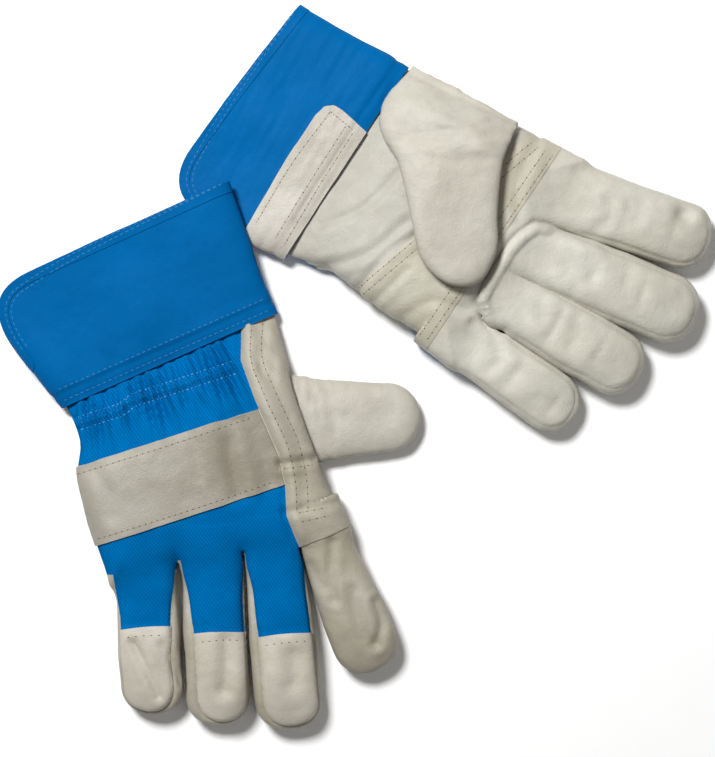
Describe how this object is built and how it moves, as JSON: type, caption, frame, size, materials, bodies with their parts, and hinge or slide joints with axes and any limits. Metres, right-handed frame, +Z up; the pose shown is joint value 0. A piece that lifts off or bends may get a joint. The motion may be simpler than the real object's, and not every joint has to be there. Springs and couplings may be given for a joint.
{
  "type": "work gloves",
  "caption": "Pair of leather and canvas work gloves with safety cuffs, laid flat: one palm down with its thumb out, one palm up with its thumb folded over the palm.",
  "frame": {"origin": "centre of the pair's bounding box in plan, on the table it lies on", "axes": "+Z up from the table; +X across the pair, from the palm-down glove's little finger side towards the palm-up glove's fingertips; +Y along the table, from the palm-down glove's fingertips towards the palm-up glove's cuff"},
  "size_m": [0.3597, 0.3642, 0.0386],
  "materials": {
    "cuff_canvas": "smooth rubberised cotton, satin",
    "cuff_binding": "folded rubberised cotton, double stitched",
    "back_canvas": "cotton drill, matt",
    "grain_leather": "fine grain cowhide, satin",
    "patch_leather": "fine grain cowhide, matt",
    "elastic": "woven elastic",
    "lining": "brushed cotton"
  },
  "bodies": {
    "left_cuff": {"left_cuff_back": "cuff_canvas", "left_cuff_palm": "cuff_canvas", "left_cuff_hem": "cuff_binding", "left_vein_patch": "grain_leather"},
    "left_hand": {"left_back_upper": "back_canvas", "left_back_lower": "back_canvas", "left_knuckle_strap": "grain_leather", "left_wrist_elastic": "elastic", "left_side_strip": "grain_leather", "left_side_wrap": "grain_leather", "left_palm_heel": "grain_leather", "left_palm_patch": "patch_leather", "left_palm_upper": "grain_leather", "left_palm_lining": "lining"},
    "left_index": {"left_index_front": "grain_leather", "left_index_back": "grain_leather"},
    "left_middle": {"left_middle_front": "grain_leather", "left_middle_back": "back_canvas", "left_middle_cap": "grain_leather"},
    "left_ring": {"left_ring_front": "grain_leather", "left_ring_back": "back_canvas", "left_ring_cap": "grain_leather"},
    "left_little": {"left_little_front": "grain_leather", "left_little_back": "back_canvas", "left_little_cap": "grain_leather"},
    "left_thumb": {"left_thumb_front": "grain_leather", "left_thumb_back": "grain_leather"},
    "right_hand": {"right_back_upper": "back_canvas", "right_back_lower": "back_canvas", "right_knuckle_strap": "grain_leather", "right_wrist_elastic": "elastic", "right_side_strip": "grain_leather", "right_side_wrap": "grain_leather", "right_palm_heel": "grain_leather", "right_palm_patch": "patch_leather", "right_palm_upper": "grain_leather", "right_palm_lining": "lining"},
    "right_index": {"right_index_front": "grain_leather", "right_index_back": "grain_leather"},
    "right_middle": {"right_middle_front": "grain_leather", "right_middle_back": "back_canvas", "right_middle_cap": "grain_leather"},
    "right_ring": {"right_ring_front": "grain_leather", "right_ring_back": "back_canvas", "right_ring_cap": "grain_leather"},
    "right_little": {"right_little_front": "grain_leather", "right_little_back": "back_canvas", "right_little_cap": "grain_leather"},
    "right_thumb": {"right_thumb_front": "grain_leather", "right_thumb_back": "grain_leather"},
    "right_cuff": {"right_cuff_back": "cuff_canvas", "right_cuff_palm": "cuff_canvas", "right_cuff_hem": "cuff_binding", "right_vein_patch": "grain_leather"}
  },
  "joints": [
    {"name": "left_wrist_bend", "type": "hinge", "parent": "left_cuff", "child": "left_hand", "pos_m": [-0.00313, 0.10246, 0.013], "axis": [-0.5448, -0.8385, 0], "range_deg": [0, 25]},
    {"name": "right_glove_lift", "type": "slide", "parent": "left_cuff", "child": "right_hand", "axis": [0, 0, 1], "range_m": [0, 0.12]},
    {"name": "right_wrist_bend", "type": "hinge", "parent": "right_hand", "child": "right_cuff", "pos_m": [-0.09222, 0.00301, 0.013], "axis": [0.9149, 0.4037, 0], "range_deg": [0, 25]},
    {"name": "left_index_bend", "type": "hinge", "parent": "left_hand", "child": "left_index", "pos_m": [0.10993, 0.08488, 0.022], "axis": [-0.3256, -0.9455, 0], "range_deg": [0, 60]},
    {"name": "left_middle_bend", "type": "hinge", "parent": "left_hand", "child": "left_middle", "pos_m": [0.09501, 0.05504, 0.022], "axis": [-0.3795, -0.9252, 0], "range_deg": [0, 60]},
    {"name": "left_ring_bend", "type": "hinge", "parent": "left_hand", "child": "left_ring", "pos_m": [0.07688, 0.03364, 0.022], "axis": [-0.5, -0.866, 0], "range_deg": [0, 60]},
    {"name": "left_little_bend", "type": "hinge", "parent": "left_hand", "child": "left_little", "pos_m": [0.0585, 0.0118, 0.022], "axis": [-0.5807, -0.8141, 0], "range_deg": [0, 60]},
    {"name": "right_index_bend", "type": "hinge", "parent": "right_hand", "child": "right_index", "pos_m": [-0.01267, -0.09101, 0.022], "axis": [-0.9285, -0.3714, 0], "range_deg": [0, 35]},
    {"name": "right_middle_bend", "type": "hinge", "parent": "right_hand", "child": "right_middle", "pos_m": [-0.03906, -0.09748, 0.022], "axis": [-0.9954, -0.0958, 0], "range_deg": [0, 35]},
    {"name": "right_ring_bend", "type": "hinge", "parent": "right_hand", "child": "right_ring", "pos_m": [-0.07009, -0.1023, 0.022], "axis": [-0.999, -0.0436, 0], "range_deg": [0, 35]},
    {"name": "right_little_bend", "type": "hinge", "parent": "right_hand", "child": "right_little", "pos_m": [-0.10347, -0.10894, 0.022], "axis": [-0.9976, -0.0698, 0], "range_deg": [0, 35]},
    {"name": "left_thumb_lift", "type": "hinge", "parent": "left_hand", "child": "left_thumb", "pos_m": [0.05345, 0.13446, 0.0243], "axis": [-0.866, 0.5, 0], "range_deg": [0, 75]},
    {"name": "right_thumb_swing", "type": "hinge", "parent": "right_hand", "child": "right_thumb", "pos_m": [-0.03791, -0.02981, 0], "axis": [0, 0, 1], "range_deg": [-15, 15]}
  ]
}
